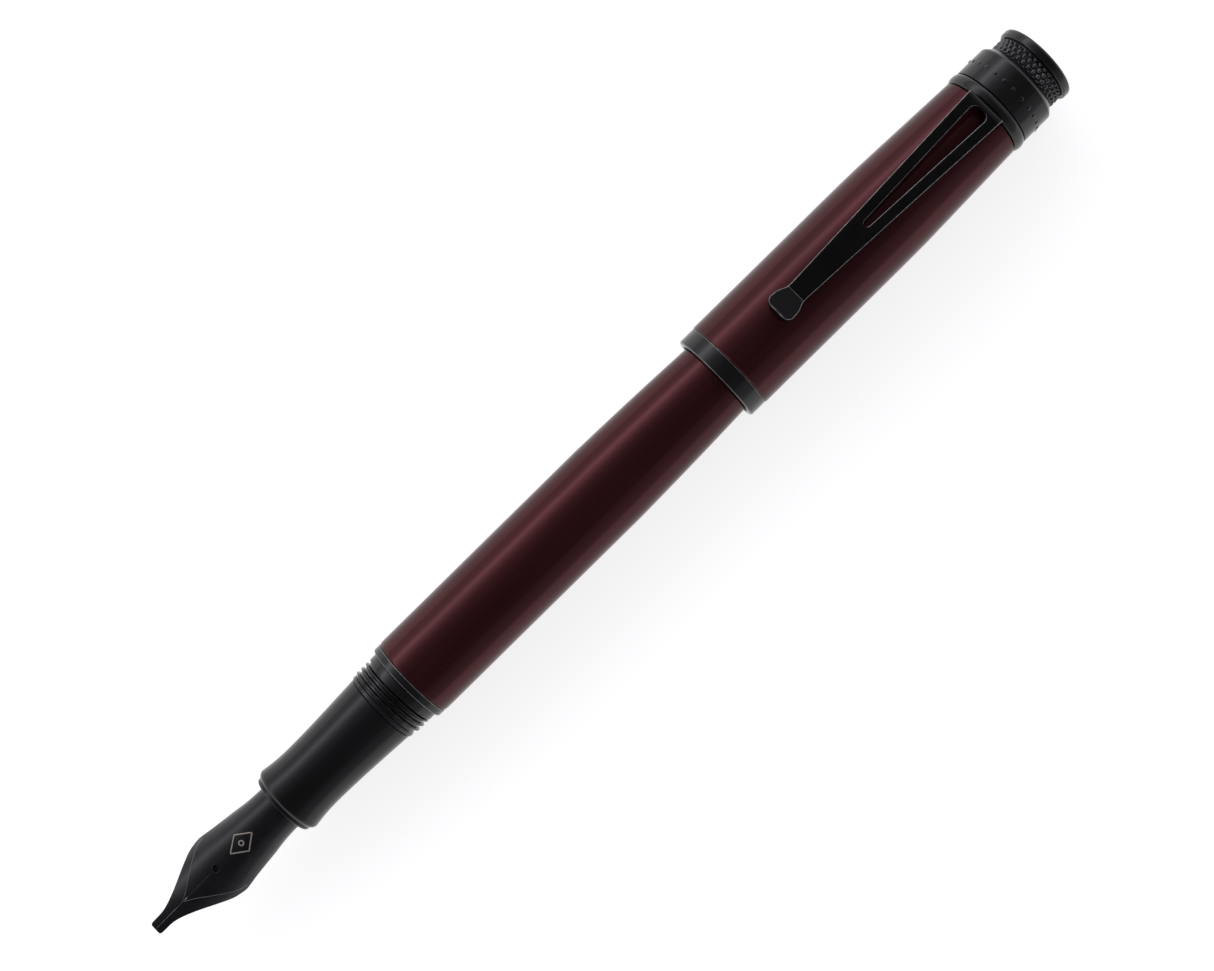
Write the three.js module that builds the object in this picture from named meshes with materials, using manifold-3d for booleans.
// A fountain pen with its cap posted on the back of the barrel, lying on a table with its clip up.
//
// Every piece is drawn along the pen's axis. A station is a distance in millimetres from the nib's
// tip, and the pen runs along +X from the nib to the crown of the cap. At the end the whole pen is
// shifted, so that the origin is under the middle of the pen, at the height of the table.

import * as THREE from "three";
import { mergeVertices } from "three/addons/utils/BufferGeometryUtils.js";
import Module from "manifold-3d";

const wasm = await Module();
wasm.setup();

// ---- Driving dimensions, millimetres ------------------------------------------------------------

// Lengths along the pen, in order from the nib's tip.
const NIB_REACH = 21.9; // from the nib's tip to the front of its housing
const HOUSING_FLANGE = 0.5; // the round flange that stands in front of the grip
const GRIP_LENGTH = 16.8;
const COLLAR_LENGTH = 4.2; // the part of the collar that shows
const TRIM_RING_LENGTH = 1.1;
const BARREL_LENGTH = 76.2;
const END_CAP_LENGTH = 2.7;

// The posted cap, from its lip to the flat end of its knob.
const CAP_POSTED_AT = 97.2;
const LIP_LENGTH = 2.4;
const CAP_TUBE_LENGTH = 43.8;
const BEAD_LENGTH = 1.6;
const BAND_LENGTH = 4.95;
const KNOB_LENGTH = 3.45;

// Outside radii.
const HOUSING_FLANGE_RADIUS = 4.35;
const GRIP_LIP_RADIUS = 4.82;
const GRIP_WAIST_RADIUS = 4.49;
const GRIP_REAR_RADIUS = 4.94;
const COLLAR_RADIUS = 5.27;
const TRIM_RING_RADIUS = 5.73;
const BARREL_RADIUS = 5.8;
const CAP_RADIUS = 6.43;
const LIP_RADIUS = 6.35;
const CAP_TOP_RADIUS = 5.84;
const BEAD_RADIUS = 6.07;
const BAND_RADIUS = 5.9;
const KNURL_RADIUS = 5.15;
const FLANGE_RADIUS = 5.47;

// Bores, walls and clearances.
const SEAM = 0.05; // between two turned pieces that butt
const CLIP_GAP = 0.1; // between the clip's foot and the bead
const FIT = 0.15; // between a round piece and the bore that it sits in
const GRIP_BORE_RADIUS = 3.9;
const TENON_RADIUS = 4.35; // the collar's tenon, on which the barrel screws
const TENON_END = 57.7;
const BARREL_BORE_RADIUS = 5.2;
const BARREL_WALL = 0.72;
const CAP_BORE_RADIUS = 5.6;
const CAP_WALL = 0.8;

// Threads.
const CAP_THREAD_PITCH = 0.78;
const CAP_THREAD_DEPTH = 0.36;
const CAP_THREAD_TURNS = 3;

// The clip.
const CLIP_TIP = 107.6;
const CLIP_ROOT = 143.35;
const CLIP_SHEET = 0.75;
const CLIP_ROOT_HALF_WIDTH = 2.72;
const CLIP_NECK_HALF_WIDTH = 1.33;
const CLIP_PAD_HALF_WIDTH = 1.94;

// Sides of a turned piece: many on what shows, fewer on what is inside.
const OUTER_SIDES = 24;
const INNER_SIDES = 16;

// ---- Stations that follow from the lengths ------------------------------------------------------

const GRIP_FRONT = NIB_REACH + HOUSING_FLANGE;
const GRIP_REAR = GRIP_FRONT + GRIP_LENGTH;
const COLLAR_REAR = GRIP_REAR + COLLAR_LENGTH;
const BARREL_FRONT = COLLAR_REAR + TRIM_RING_LENGTH;
const BARREL_REAR = BARREL_FRONT + BARREL_LENGTH;
const END_CAP_REAR = BARREL_REAR + END_CAP_LENGTH;
const LIP_REAR = CAP_POSTED_AT + LIP_LENGTH;
const CAP_TUBE_REAR = LIP_REAR + CAP_TUBE_LENGTH;
const BEAD_FRONT = CAP_TUBE_REAR + CLIP_GAP;
const BEAD_REAR = BEAD_FRONT + BEAD_LENGTH;
const BAND_REAR = BEAD_REAR + BAND_LENGTH;
const PEN_LENGTH = BAND_REAR + SEAM + KNOB_LENGTH;

// ---- Materials ----------------------------------------------------------------------------------

function material(color, roughness, metalness) {
  return new THREE.MeshStandardMaterial({ color, roughness, metalness });
}

const lacquer = material("#5c1420", 0.22, 0.35);
const blackMetal = material("#141415", 0.28, 0.75);
const blackPlastic = material("#161617", 0.38, 0.0);
const brass = material("#b08d4c", 0.35, 1.0);
const steel = material("#b9bbbd", 0.3, 1.0);
const clearPlastic = material("#c9d3d8", 0.15, 0.0);
const whitePlastic = material("#dcdcd8", 0.4, 0.0);

// ---- Turned pieces ------------------------------------------------------------------------------

const pen = new THREE.Group();

function addMesh(name, geometry, finish) {
  const mesh = new THREE.Mesh(geometry, finish);
  mesh.name = name;
  pen.add(mesh);
}

// A body of revolution about the pen's axis. The outline is a list of [station, radius]. It goes
// along the outside towards the crown and comes back inside, or runs from axis to axis.
function turnedGeometry(outline, sides) {
  const points = outline.map(([station, radius]) => new THREE.Vector2(radius, station));
  const geometry = new THREE.LatheGeometry(points, sides);
  geometry.rotateZ(-Math.PI / 2);
  return geometry;
}

function addTurned(name, finish, sides, outline) {
  addMesh(name, turnedGeometry(outline, sides), finish);
}

// A plain tube between two stations.
function tubeOutline(front, rear, inside, outside) {
  return [
    [front, inside],
    [front, outside],
    [rear, outside],
    [rear, inside],
    [front, inside],
  ];
}

// Points of a round edge, from one angle to another, in degrees. At 0 degrees the edge faces the
// crown, at 90 it faces outwards and at 180 it faces the nib.
function roundEdge(station, radius, edge, from, to, steps) {
  const points = [];
  for (let i = 0; i <= steps; i += 1) {
    const angle = THREE.MathUtils.degToRad(from + ((to - from) * i) / steps);
    points.push([station + edge * Math.cos(angle), radius + edge * Math.sin(angle)]);
  }
  return points;
}

// A smooth run through a few [station, radius] points.
function smoothRun(knots, steps) {
  const points = knots.map(([station, radius]) => new THREE.Vector2(station, radius));
  return new THREE.SplineCurve(points).getPoints(steps).map((point) => [point.x, point.y]);
}

// The value of a run of [station, value] points at a station between them.
function valueAt(run, station) {
  const next = run.findIndex(([end]) => end >= station);
  const [rear, rearValue] = run[next];
  const [front, frontValue] = run[Math.max(next - 1, 0)];
  if (rear === front) {
    return rearValue;
  }
  return THREE.MathUtils.mapLinear(station, front, rear, frontValue, rearValue);
}

// ---- Grip and collar ----------------------------------------------------------------------------

function gripSection() {
  const chamferLength = 0.7;
  const chamferDepth = 0.38;
  const front = GRIP_FRONT + SEAM;
  const lip = GRIP_FRONT + chamferLength;
  const waist = smoothRun(
    [
      [lip, GRIP_LIP_RADIUS],
      [lip + 1.9, 4.58],
      [lip + 4.1, GRIP_WAIST_RADIUS],
      [lip + 7.6, GRIP_WAIST_RADIUS + 0.06],
      [lip + 11.6, 4.72],
      [GRIP_REAR - SEAM, GRIP_REAR_RADIUS],
    ],
    10
  );
  addTurned("grip_section", blackPlastic, OUTER_SIDES, [
    [front, GRIP_BORE_RADIUS],
    [front, GRIP_LIP_RADIUS - chamferDepth],
    ...waist,
    [GRIP_REAR - SEAM, GRIP_BORE_RADIUS],
    [front, GRIP_BORE_RADIUS],
  ]);
}

// The collar carries the cap's thread, drawn here as plain ridges, and a tenon that the barrel
// screws onto.
function threadedCollar() {
  const root = COLLAR_RADIUS - CAP_THREAD_DEPTH;
  const flank = 0.2;
  const crest = 0.14;
  const threadFront = GRIP_REAR + 0.65;
  const ridges = [];
  for (let turn = 0; turn < CAP_THREAD_TURNS; turn += 1) {
    const start = threadFront + turn * CAP_THREAD_PITCH;
    ridges.push([start, root]);
    ridges.push([start + flank, COLLAR_RADIUS]);
    ridges.push([start + flank + crest, COLLAR_RADIUS]);
    ridges.push([start + flank + crest + flank, root]);
  }
  const rimRadius = 5.1;
  const landFront = threadFront + CAP_THREAD_TURNS * CAP_THREAD_PITCH;
  const landRadius = COLLAR_RADIUS - 0.01;
  addTurned("threaded_collar", blackMetal, OUTER_SIDES, [
    [GRIP_REAR, GRIP_BORE_RADIUS],
    [GRIP_REAR, rimRadius],
    [GRIP_REAR + 0.45, rimRadius],
    [GRIP_REAR + 0.6, root],
    ...ridges,
    [landFront, landRadius],
    [COLLAR_REAR, landRadius],
    [COLLAR_REAR, TENON_RADIUS],
    [TENON_END, TENON_RADIUS],
    [TENON_END, GRIP_BORE_RADIUS],
    [GRIP_REAR, GRIP_BORE_RADIUS],
  ]);
}

// ---- Nib unit -----------------------------------------------------------------------------------

const NIB_RADIUS = 3.27; // outside of the nib's tail, inside the housing
const NIB_SHEET = 0.4;
const NIB_TAIL_END = 33.2;
const SLIT_WIDTH = 0.16;
const BREATHER_AT = 11.1;
const BREATHER_RADIUS = 0.5;
const FEED_GAP = 0.22;
const NIPPLE_RADIUS = 1.6;
const NIPPLE_END = 41.7;

// The sheet nib, station by station: half width, radius of the arch and height of its top line.
const NIB_FORM = [
  { station: 0.0, half: 0.62, arch: 6.0, top: 0.75 },
  { station: 0.35, half: 0.88, arch: 6.0, top: 0.85 },
  { station: 2.2, half: 0.94, arch: 6.0, top: 1.24 },
  { station: 3.7, half: 1.3, arch: 5.8, top: 1.52 },
  { station: 5.7, half: 2.12, arch: 5.6, top: 1.85 },
  { station: 7.7, half: 3.1, arch: 5.3, top: 2.16 },
  { station: 9.5, half: 3.95, arch: 5.1, top: 2.42 },
  { station: 10.6, half: 4.23, arch: 4.97, top: 2.56 },
  { station: 11.5, half: 4.34, arch: 4.85, top: 2.67 },
  { station: 13.7, half: 4.03, arch: 4.3, top: 2.89 },
  { station: 16.7, half: 3.69, arch: 3.73, top: 3.1 },
  { station: 21.2, half: NIB_RADIUS, arch: NIB_RADIUS, top: 3.26 },
  { station: NIB_TAIL_END, half: NIB_RADIUS, arch: NIB_RADIUS, top: NIB_RADIUS },
];

// A solid drawn through rings of the same number of points, each an upper line from one side to the
// other followed by the lower line on the way back. Opposite points close the two ends.
function loftGeometry(rings) {
  const count = rings[0].length;
  const positions = rings.flat().flatMap((point) => [point.x, point.y, point.z]);
  const indices = [];
  for (let ring = 0; ring + 1 < rings.length; ring += 1) {
    for (let i = 0; i < count; i += 1) {
      const a = ring * count + i;
      const b = ring * count + ((i + 1) % count);
      indices.push(a, b, b + count, a, b + count, a + count);
    }
  }
  const lastRing = (rings.length - 1) * count;
  for (let i = 0; i + 1 < count / 2; i += 1) {
    const [a, b, c, d] = [i, i + 1, count - 2 - i, count - 1 - i];
    indices.push(a, c, b, a, d, c);
    indices.push(lastRing + a, lastRing + b, lastRing + c, lastRing + a, lastRing + c, lastRing + d);
  }
  const geometry = new THREE.BufferGeometry();
  geometry.setAttribute("position", new THREE.Float32BufferAttribute(positions, 3));
  geometry.setIndex(indices);
  return geometry;
}

// Points along an arc that bows upwards, from the +Y side to the -Y side.
function arch(station, centre, radius, halfAngle, steps) {
  const points = [];
  for (let i = 0; i <= steps; i += 1) {
    const angle = halfAngle * (1 - (2 * i) / steps);
    points.push(new THREE.Vector3(station, radius * Math.sin(angle), centre + radius * Math.cos(angle)));
  }
  return points;
}

function nibRing({ station, half, arch: radius, top }) {
  const halfAngle = Math.asin(half / radius);
  const centre = top - radius;
  const upper = arch(station, centre, radius, halfAngle, 10);
  const lower = arch(station, centre, radius - NIB_SHEET, halfAngle, 10).reverse();
  return [...upper, ...lower];
}

function toManifold(geometry) {
  const bare = geometry.clone();
  bare.deleteAttribute("normal");
  bare.deleteAttribute("uv");
  const merged = mergeVertices(bare, 1e-4);
  return new wasm.Manifold(
    new wasm.Mesh({
      numProp: 3,
      vertProperties: new Float32Array(merged.attributes.position.array),
      triVerts: new Uint32Array(merged.index.array),
    })
  );
}

function fromManifold(solid) {
  const mesh = solid.getMesh();
  const geometry = new THREE.BufferGeometry();
  geometry.setAttribute("position", new THREE.BufferAttribute(mesh.vertProperties, 3));
  geometry.setIndex(new THREE.BufferAttribute(mesh.triVerts, 1));
  return geometry;
}

// A box between two corners.
function boxGeometry(low, high) {
  const size = new THREE.Vector3().subVectors(high, low);
  const middle = new THREE.Vector3().addVectors(high, low).multiplyScalar(0.5);
  return new THREE.BoxGeometry(size.x, size.y, size.z).translate(middle.x, middle.y, middle.z);
}

function nib() {
  const sheet = toManifold(loftGeometry(NIB_FORM.map(nibRing)));
  // Both cuts go right through the sheet, which stays within this distance of the pen's axis.
  const reach = 6;
  const slit = boxGeometry(
    new THREE.Vector3(-1, -SLIT_WIDTH / 2, -reach),
    new THREE.Vector3(BREATHER_AT, SLIT_WIDTH / 2, reach)
  );
  const breather = new THREE.CylinderGeometry(BREATHER_RADIUS, BREATHER_RADIUS, 2 * reach, 16);
  breather.rotateX(Math.PI / 2);
  breather.translate(BREATHER_AT, 0, 0);
  const cut = sheet.subtract(toManifold(slit)).subtract(toManifold(breather));
  addMesh("nib", fromManifold(cut), blackMetal);
}

// The feed lies under the nib and follows its underside. Its keel, given by its height, rises
// towards the tip.
function feed() {
  const form = [
    { station: 5.7, half: 0.5, keel: 0.9 },
    { station: 7.7, half: 1.2, keel: 0.1 },
    { station: 11.5, half: 2.0, keel: -1.2 },
    { station: 16.7, half: 2.5, keel: -2.4 },
    { station: 21.2, half: 2.62, keel: -3.0 },
    { station: 22.8, half: 2.64, keel: -NIB_RADIUS },
    { station: 34.4, half: 2.64, keel: -NIB_RADIUS },
  ];
  const rim = 0.15; // how thick the feed is at its two edges
  const archOfNib = NIB_FORM.map(({ station, arch: radius }) => [station, radius]);
  const topOfNib = NIB_FORM.map(({ station, top }) => [station, top]);
  const rings = form.map(({ station, half, keel }) => {
    const under = Math.min(station, NIB_TAIL_END);
    const archRadius = valueAt(archOfNib, under);
    const centre = valueAt(topOfNib, under) - archRadius;
    const radius = archRadius - NIB_SHEET - FEED_GAP;
    const halfAngle = Math.asin(half / radius);
    const upper = arch(station, centre, radius, halfAngle, 8);
    const side = upper[0].z - rim;
    const lower = upper.map((point, i) => {
      const angle = (Math.PI * i) / (upper.length - 1);
      return new THREE.Vector3(station, half * Math.cos(angle), side + (keel - side) * Math.sin(angle));
    });
    return [...upper, ...lower.reverse()];
  });
  addMesh("feed", loftGeometry(rings), blackPlastic);
}

// The housing holds nib and feed and screws into the grip. The converter plugs on its nipple.
function nibHousing() {
  const outside = GRIP_BORE_RADIUS - FIT;
  const front = NIB_REACH;
  const rear = GRIP_REAR - 3.0;
  const floor = rear - 1.5;
  const inkHole = 0.8;
  addTurned("nib_housing", blackPlastic, OUTER_SIDES, [
    [front, NIB_RADIUS + FIT],
    ...roundEdge(GRIP_FRONT, HOUSING_FLANGE_RADIUS - HOUSING_FLANGE, HOUSING_FLANGE, 180, 90, 3),
    [GRIP_FRONT, outside],
    [rear, outside],
    [rear, NIPPLE_RADIUS],
    [NIPPLE_END, NIPPLE_RADIUS],
    [NIPPLE_END, inkHole],
    [floor, inkHole],
    [floor, NIB_RADIUS + FIT],
    [front, NIB_RADIUS + FIT],
  ]);
}

// ---- Converter ----------------------------------------------------------------------------------

const CONVERTER_FRONT = 38.2;
const CONVERTER_TUBE_RADIUS = 3.45;
const CHAMBER_RADIUS = 2.9;
const CHAMBER_FRONT = 43.7;
const CONVERTER_TUBE_REAR = 83.2;
const SLEEVE_FRONT = 79.2;
const SLEEVE_REAR = 97.2;
const SLEEVE_WALL = 0.3;
const PISTON_FRONT = 44.7;
const PISTON_LENGTH = 4.0;
const ROD_RADIUS = 1.1;
const ROD_REAR = 85.5;
const SPINDLE_RADIUS = 2.0;
const SPINDLE_REAR = 102.2;
const CONVERTER_KNOB_REAR = 109.2;
const CONVERTER_KNOB_RADIUS = 2.75;

function converter() {
  const mouth = NIPPLE_RADIUS + 0.2;
  const mouthEnd = NIPPLE_END + 0.9;
  const inkHole = 1.0;
  const chamfer = 0.5;
  addTurned("converter_tube", clearPlastic, INNER_SIDES, [
    [CONVERTER_FRONT, mouth],
    [CONVERTER_FRONT, CONVERTER_TUBE_RADIUS - chamfer],
    [CONVERTER_FRONT + chamfer, CONVERTER_TUBE_RADIUS],
    [CONVERTER_TUBE_REAR, CONVERTER_TUBE_RADIUS],
    [CONVERTER_TUBE_REAR, CHAMBER_RADIUS],
    [CHAMBER_FRONT, CHAMBER_RADIUS],
    [CHAMBER_FRONT, inkHole],
    [mouthEnd, inkHole],
    [mouthEnd, mouth],
    [CONVERTER_FRONT, mouth],
  ]);
  const sleeveBore = CONVERTER_TUBE_RADIUS + FIT;
  addTurned(
    "converter_sleeve",
    steel,
    INNER_SIDES,
    tubeOutline(SLEEVE_FRONT, SLEEVE_REAR, sleeveBore, sleeveBore + SLEEVE_WALL)
  );
  addTurned(
    "converter_bushing",
    blackPlastic,
    INNER_SIDES,
    tubeOutline(CONVERTER_TUBE_REAR + FIT, SLEEVE_REAR, SPINDLE_RADIUS + FIT, CONVERTER_TUBE_RADIUS)
  );
}

function converterPiston() {
  const rear = PISTON_FRONT + PISTON_LENGTH;
  const seal = CHAMBER_RADIUS - FIT;
  const sealLength = 1.1;
  const slope = 0.3;
  const waist = seal - 0.5;
  addTurned("converter_piston", blackPlastic, INNER_SIDES, [
    [PISTON_FRONT, 0],
    [PISTON_FRONT, seal - 0.25],
    [PISTON_FRONT + slope, seal],
    [PISTON_FRONT + sealLength, seal],
    [PISTON_FRONT + sealLength + slope, waist],
    [rear - sealLength - slope, waist],
    [rear - sealLength, seal],
    [rear, seal],
    [rear, 0],
  ]);
  addTurned("piston_rod", whitePlastic, INNER_SIDES, [
    [rear + SEAM, 0],
    [rear + SEAM, ROD_RADIUS],
    [ROD_REAR, ROD_RADIUS],
    [ROD_REAR, 0],
  ]);
}

function converterDrive() {
  const bore = ROD_RADIUS + 0.25;
  addTurned(
    "drive_spindle",
    whitePlastic,
    INNER_SIDES,
    tubeOutline(CONVERTER_TUBE_REAR + FIT, SPINDLE_REAR, bore, SPINDLE_RADIUS)
  );
  const front = SLEEVE_REAR + 0.3;
  const boreEnd = CONVERTER_KNOB_REAR - 1.0;
  const edge = 0.4;
  addTurned("converter_knob", blackPlastic, INNER_SIDES, [
    [boreEnd, 0],
    [boreEnd, bore],
    [SPINDLE_REAR + FIT, bore],
    [SPINDLE_REAR + FIT, SPINDLE_RADIUS + FIT],
    [front, SPINDLE_RADIUS + FIT],
    [front, CONVERTER_KNOB_RADIUS],
    ...roundEdge(CONVERTER_KNOB_REAR - edge, CONVERTER_KNOB_RADIUS - edge, edge, 90, 0, 2),
    [CONVERTER_KNOB_REAR, 0],
  ]);
}

// ---- Barrel -------------------------------------------------------------------------------------

const INSERT_FRONT = 51.2;
const INSERT_REAR = 57.2;
const POSTING_STEP = 97.4; // where the barrel narrows, just inside the posted cap's lip
const TAIL_RADIUS = 4.93;
const BARREL_REAR_RADIUS = 3.98;
const END_PLUG_RADIUS = 3.35;

function barrel() {
  const front = BARREL_FRONT + SEAM;
  const straightEnd = 78.7;
  const taper = smoothRun(
    [
      [straightEnd, BARREL_RADIUS],
      [85.2, 5.65],
      [91.2, 5.47],
      [POSTING_STEP, 5.23],
    ],
    8
  );
  const tail = smoothRun(
    [
      [POSTING_STEP + 0.5, TAIL_RADIUS],
      [107.2, 4.71],
      [115.2, 4.33],
      [BARREL_REAR, BARREL_REAR_RADIUS],
    ],
    6
  );
  const boreRear = END_PLUG_RADIUS + FIT;
  const chamferLength = 0.4;
  const chamferDepth = 0.08;
  addTurned("barrel_shell", lacquer, OUTER_SIDES, [
    [front, BARREL_BORE_RADIUS],
    [front, BARREL_RADIUS - chamferDepth],
    [front + chamferLength, BARREL_RADIUS],
    ...taper,
    ...tail,
    [BARREL_REAR, boreRear],
    [BARREL_REAR - 4.0, boreRear],
    [POSTING_STEP, TAIL_RADIUS - BARREL_WALL],
    [straightEnd - 8, BARREL_BORE_RADIUS - 0.15],
    [straightEnd - 14, BARREL_BORE_RADIUS],
    [front, BARREL_BORE_RADIUS],
  ]);

  const plugFront = BARREL_REAR - 3.3;
  const edge = 1.2;
  addTurned("barrel_end_cap", blackMetal, OUTER_SIDES, [
    [plugFront, 0],
    [plugFront, END_PLUG_RADIUS],
    [BARREL_REAR + SEAM, END_PLUG_RADIUS],
    [BARREL_REAR + SEAM, BARREL_REAR_RADIUS],
    ...roundEdge(END_CAP_REAR - edge, BARREL_REAR_RADIUS - 0.05 - edge, edge, 90, 0, 4),
    [END_CAP_REAR, 0],
  ]);
}

function barrelThreadInsert() {
  addTurned(
    "barrel_thread_insert",
    brass,
    OUTER_SIDES,
    tubeOutline(INSERT_FRONT, INSERT_REAR, TENON_RADIUS + FIT, BARREL_BORE_RADIUS - FIT)
  );
}

function barrelTrimRing() {
  const front = COLLAR_REAR + SEAM;
  const bore = TENON_RADIUS + FIT;
  const spigotRadius = BARREL_BORE_RADIUS - 0.1; // the part that sits in the barrel
  const spigotEnd = BARREL_FRONT + 1.5;
  const edge = 0.3;
  addTurned("barrel_trim_ring", blackMetal, OUTER_SIDES, [
    [front, bore],
    ...roundEdge(front + edge, TRIM_RING_RADIUS - edge, edge, 180, 90, 2),
    ...roundEdge(BARREL_FRONT - edge, TRIM_RING_RADIUS - edge, edge, 90, 0, 2),
    [BARREL_FRONT, spigotRadius],
    [spigotEnd, spigotRadius],
    [spigotEnd, bore],
    [front, bore],
  ]);
}

// ---- Cap ----------------------------------------------------------------------------------------

const INNER_CAP_FRONT = 103.0;
const NIB_ROOM_END = 141.6; // how deep the inner cap is
const BOSS_RADIUS = 3.2;
const STUD_RADIUS = 1.25;
const CROWN_BORE_RADIUS = BOSS_RADIUS + 0.2;

// The cap's outside from the lip ring to the crown.
function capTubeRun() {
  return smoothRun(
    [
      [LIP_REAR + SEAM, CAP_RADIUS],
      [LIP_REAR + 14, CAP_RADIUS - 0.01],
      [LIP_REAR + 26, CAP_RADIUS - 0.03],
      [LIP_REAR + 31, 6.28],
      [LIP_REAR + 37, 6.07],
      [CAP_TUBE_REAR, CAP_TOP_RADIUS],
    ],
    10
  );
}

function capBody() {
  const bore = CAP_BORE_RADIUS;
  const tube = turnedGeometry(
    [
      [LIP_REAR + SEAM, bore],
      ...capTubeRun(),
      [CAP_TUBE_REAR, CAP_TOP_RADIUS - CAP_WALL],
      [LIP_REAR + 26, bore],
      [LIP_REAR + SEAM, bore],
    ],
    OUTER_SIDES
  );
  // The clip's foot goes down through this notch.
  const notchFront = CLIP_ROOT - CLIP_SHEET - 0.3;
  const notchHalfWidth = CLIP_ROOT_HALF_WIDTH + 0.25;
  const notch = boxGeometry(
    new THREE.Vector3(notchFront, -notchHalfWidth, CAP_TOP_RADIUS - 1.4),
    new THREE.Vector3(CAP_TUBE_REAR + 1, notchHalfWidth, CAP_RADIUS + 1)
  );
  addMesh("cap_body", fromManifold(toManifold(tube).subtract(toManifold(notch))), lacquer);
}

function capRings() {
  const edge = 0.3;
  addTurned("cap_lip_ring", blackMetal, OUTER_SIDES, [
    [CAP_POSTED_AT, CAP_BORE_RADIUS],
    ...roundEdge(CAP_POSTED_AT + edge, LIP_RADIUS - edge, edge, 180, 90, 3),
    [LIP_REAR, LIP_RADIUS],
    [LIP_REAR, CAP_BORE_RADIUS],
    [CAP_POSTED_AT, CAP_BORE_RADIUS],
  ]);
  addTurned(
    "cap_thread_insert",
    brass,
    OUTER_SIDES,
    tubeOutline(CAP_POSTED_AT + 0.9, INNER_CAP_FRONT - 0.3, TAIL_RADIUS + 0.12, CAP_BORE_RADIUS - 0.1)
  );
}

// A liner that closes round the grip when the cap is on the nib, with a boss for the crown's stud.
function innerCap() {
  const mouth = 4.95;
  const nibRoom = 4.5;
  const seat = CAP_POSTED_AT + COLLAR_REAR - GRIP_FRONT;
  const shoulder = CAP_TUBE_REAR - 0.9;
  const bossEnd = BEAD_REAR + 1.2;
  addTurned("inner_cap", blackPlastic, OUTER_SIDES, [
    [NIB_ROOM_END, 0],
    [NIB_ROOM_END, nibRoom],
    [seat + 0.6, nibRoom],
    [seat, mouth],
    [INNER_CAP_FRONT, mouth],
    [INNER_CAP_FRONT, CAP_BORE_RADIUS - FIT],
    [LIP_REAR + 25, CAP_BORE_RADIUS - FIT],
    [shoulder, CAP_TOP_RADIUS - CAP_WALL - FIT],
    [shoulder, BOSS_RADIUS],
    [bossEnd, BOSS_RADIUS],
    [bossEnd, STUD_RADIUS + FIT],
    [CAP_TUBE_REAR, STUD_RADIUS + FIT],
    [CAP_TUBE_REAR, 0],
  ]);
}

function crown() {
  const beadEdge = 0.5;
  addTurned("crown_bead", blackMetal, OUTER_SIDES, [
    [BEAD_FRONT, CROWN_BORE_RADIUS],
    ...roundEdge(BEAD_FRONT + beadEdge, BEAD_RADIUS - beadEdge, beadEdge, 180, 90, 3),
    ...roundEdge(BEAD_REAR - beadEdge, BEAD_RADIUS - beadEdge, beadEdge, 90, 0, 3),
    [BEAD_REAR, CROWN_BORE_RADIUS],
    [BEAD_FRONT, CROWN_BORE_RADIUS],
  ]);
  const bandChamfer = 0.7;
  addTurned("crown_band", blackMetal, OUTER_SIDES, [
    [BEAD_REAR + SEAM, CROWN_BORE_RADIUS],
    [BEAD_REAR + SEAM, BAND_RADIUS],
    [BAND_REAR - bandChamfer, BAND_RADIUS],
    [BAND_REAR, BAND_RADIUS - bandChamfer + 0.1],
    [BAND_REAR, CROWN_BORE_RADIUS],
    [BEAD_REAR + SEAM, CROWN_BORE_RADIUS],
  ]);

  const knobFront = BAND_REAR + SEAM;
  const studHoleEnd = knobFront + 2.2;
  const knurlRear = PEN_LENGTH - 1.4;
  const edge = 0.5;
  addTurned("knurled_knob", blackMetal, OUTER_SIDES, [
    [studHoleEnd, 0],
    [studHoleEnd, STUD_RADIUS + FIT],
    [knobFront, STUD_RADIUS + FIT],
    [knobFront, KNURL_RADIUS],
    [knurlRear, KNURL_RADIUS],
    ...roundEdge(knurlRear + edge, FLANGE_RADIUS - edge, edge, 180, 90, 2),
    ...roundEdge(PEN_LENGTH - edge, FLANGE_RADIUS - edge, edge, 90, 0, 2),
    [PEN_LENGTH, 0],
  ]);
  const studFront = CAP_TUBE_REAR + 0.3;
  const studRear = studHoleEnd - 0.2;
  addTurned("finial_stud", brass, INNER_SIDES, [
    [studFront, 0],
    [studFront, STUD_RADIUS],
    [studRear, STUD_RADIUS],
    [studRear, 0],
  ]);
}

// ---- Clip ---------------------------------------------------------------------------------------

const CLIP_NECK = 111.4;
const CLIP_REST_HEIGHT = CAP_RADIUS + 0.08; // underside where the clip rests on the cap
const CLIP_ROOT_HEIGHT = 7.3; // underside at the crown end
const CLIP_FOOT_HEIGHT = 5.05;
const CLIP_BOW = 127.2; // where the blade bows up most
const CLIP_BOW_HEIGHT = 7.15;
const SLOT_FRONT = 122.5;
const SLOT_REAR = 142.3;
const SLOT_FRONT_HALF_WIDTH = 0.42;
const SLOT_REAR_HALF_WIDTH = 1.26;
const SLOT_CORNER = 0.5;

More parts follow.
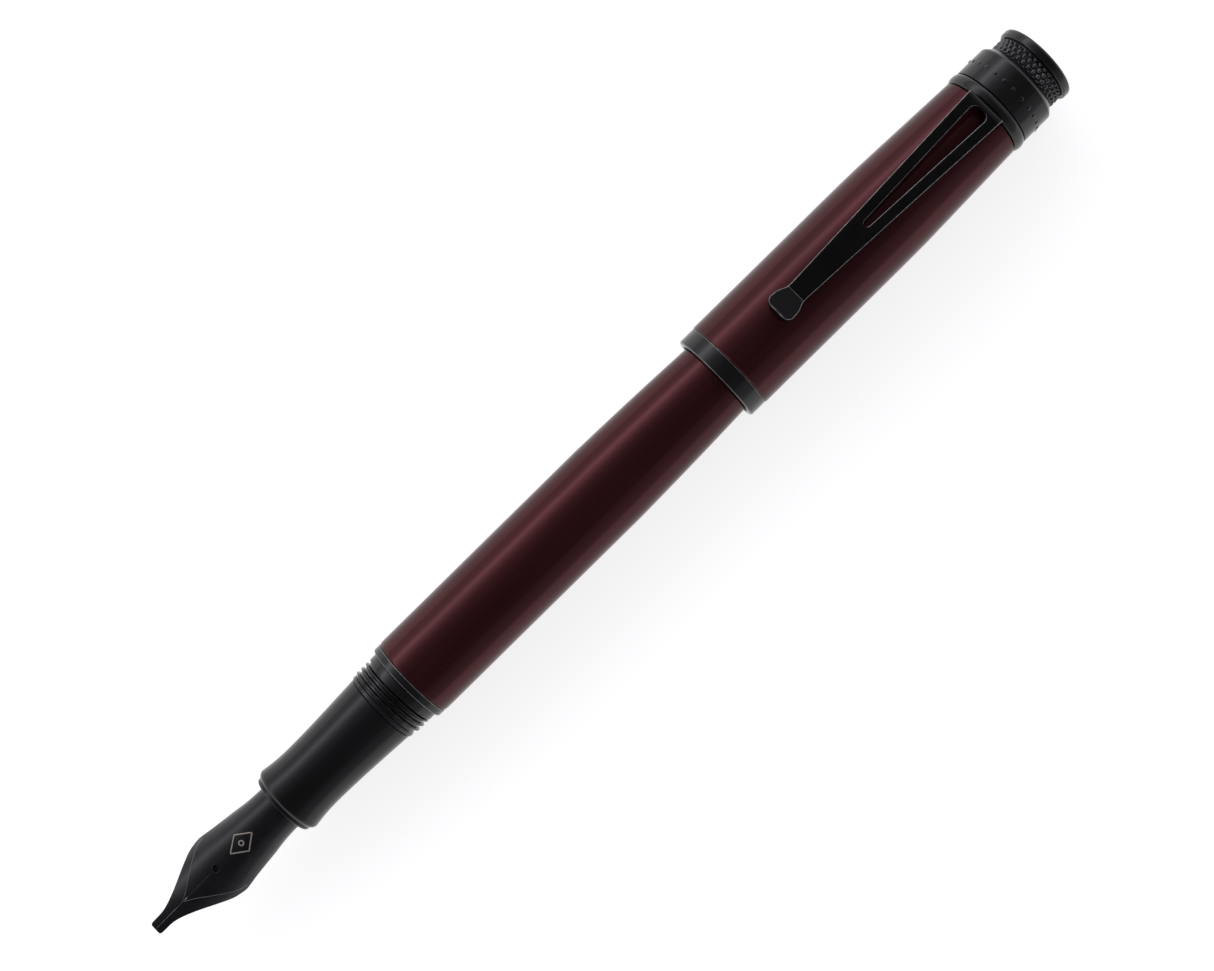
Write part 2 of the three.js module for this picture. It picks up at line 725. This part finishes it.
// The clip seen from above, with its long tapered slot.
function clipPlan() {
  const corner = 1.2; // the pad's round corners: how far each goes back, and the flat between them
  const flat = 0.9;
  const flare = 2.6; // from the pad's tip, how far back its width starts to draw in
  const plan = new THREE.Shape();
  plan.moveTo(CLIP_ROOT, CLIP_ROOT_HALF_WIDTH);
  plan.lineTo(CLIP_NECK, CLIP_NECK_HALF_WIDTH);
  plan.bezierCurveTo(
    CLIP_NECK - 1.2, CLIP_NECK_HALF_WIDTH,
    CLIP_TIP + flare, CLIP_PAD_HALF_WIDTH,
    CLIP_TIP + corner, CLIP_PAD_HALF_WIDTH
  );
  plan.quadraticCurveTo(CLIP_TIP, CLIP_PAD_HALF_WIDTH, CLIP_TIP, flat);
  plan.lineTo(CLIP_TIP, -flat);
  plan.quadraticCurveTo(CLIP_TIP, -CLIP_PAD_HALF_WIDTH, CLIP_TIP + corner, -CLIP_PAD_HALF_WIDTH);
  plan.bezierCurveTo(
    CLIP_TIP + flare, -CLIP_PAD_HALF_WIDTH,
    CLIP_NECK - 1.2, -CLIP_NECK_HALF_WIDTH,
    CLIP_NECK, -CLIP_NECK_HALF_WIDTH
  );
  plan.lineTo(CLIP_ROOT, -CLIP_ROOT_HALF_WIDTH);
  plan.closePath();
  plan.holes.push(slotPlan());
  return plan;
}

function slotPlan() {
  const slot = new THREE.Path();
  const front = SLOT_FRONT + SLOT_FRONT_HALF_WIDTH;
  const rear = SLOT_REAR - SLOT_CORNER;
  slot.moveTo(front, SLOT_FRONT_HALF_WIDTH);
  slot.lineTo(rear, SLOT_REAR_HALF_WIDTH);
  slot.quadraticCurveTo(SLOT_REAR, SLOT_REAR_HALF_WIDTH, SLOT_REAR, SLOT_REAR_HALF_WIDTH - SLOT_CORNER);
  slot.lineTo(SLOT_REAR, SLOT_CORNER - SLOT_REAR_HALF_WIDTH);
  slot.quadraticCurveTo(SLOT_REAR, -SLOT_REAR_HALF_WIDTH, rear, -SLOT_REAR_HALF_WIDTH);
  slot.lineTo(front, -SLOT_FRONT_HALF_WIDTH);
  slot.quadraticCurveTo(SLOT_FRONT, 0, front, SLOT_FRONT_HALF_WIDTH);
  return slot;
}

// The clip seen from the side: pad, blade and the foot that goes down into the crown.
function clipSide() {
  const bend = 0.9; // of the sheet, where the blade turns down into the foot
  const padRise = 1.4; // how far the pad turns up before its tip
  const padEnd = CLIP_TIP - 1;
  const restTop = CLIP_REST_HEIGHT + CLIP_SHEET;
  const rootTop = CLIP_ROOT_HEIGHT + CLIP_SHEET;
  const side = new THREE.Shape();
  side.moveTo(padEnd, CLIP_REST_HEIGHT + padRise);
  side.lineTo(CLIP_NECK, CLIP_REST_HEIGHT);
  side.quadraticCurveTo(CLIP_BOW, CLIP_BOW_HEIGHT, CLIP_ROOT - CLIP_SHEET, CLIP_ROOT_HEIGHT);
  side.lineTo(CLIP_ROOT - CLIP_SHEET, CLIP_FOOT_HEIGHT);
  side.lineTo(CLIP_ROOT, CLIP_FOOT_HEIGHT);
  side.lineTo(CLIP_ROOT, rootTop - bend);
  side.quadraticCurveTo(CLIP_ROOT, rootTop, CLIP_ROOT - bend, rootTop);
  side.quadraticCurveTo(CLIP_BOW, CLIP_BOW_HEIGHT + CLIP_SHEET, CLIP_NECK, restTop);
  side.lineTo(padEnd, restTop + padRise);
  side.closePath();
  return side;
}

function clip() {
  const depth = 20;
  const settings = { depth, bevelEnabled: false, curveSegments: 4 };
  const plan = new THREE.ExtrudeGeometry(clipPlan(), settings);
  const side = new THREE.ExtrudeGeometry(clipSide(), settings);
  side.rotateX(Math.PI / 2);
  side.translate(0, depth / 2, 0);
  addMesh("clip", fromManifold(toManifold(plan).intersect(toManifold(side))), blackMetal);
}

// ---- Assembly -----------------------------------------------------------------------------------

gripSection();
threadedCollar();
nibHousing();
nib();
feed();
converter();
converterPiston();
converterDrive();
barrelThreadInsert();
barrelTrimRing();
barrel();
innerCap();
capBody();
capRings();
crown();
clip();

pen.position.set(-PEN_LENGTH / 2, 0, CAP_RADIUS);

export default pen;
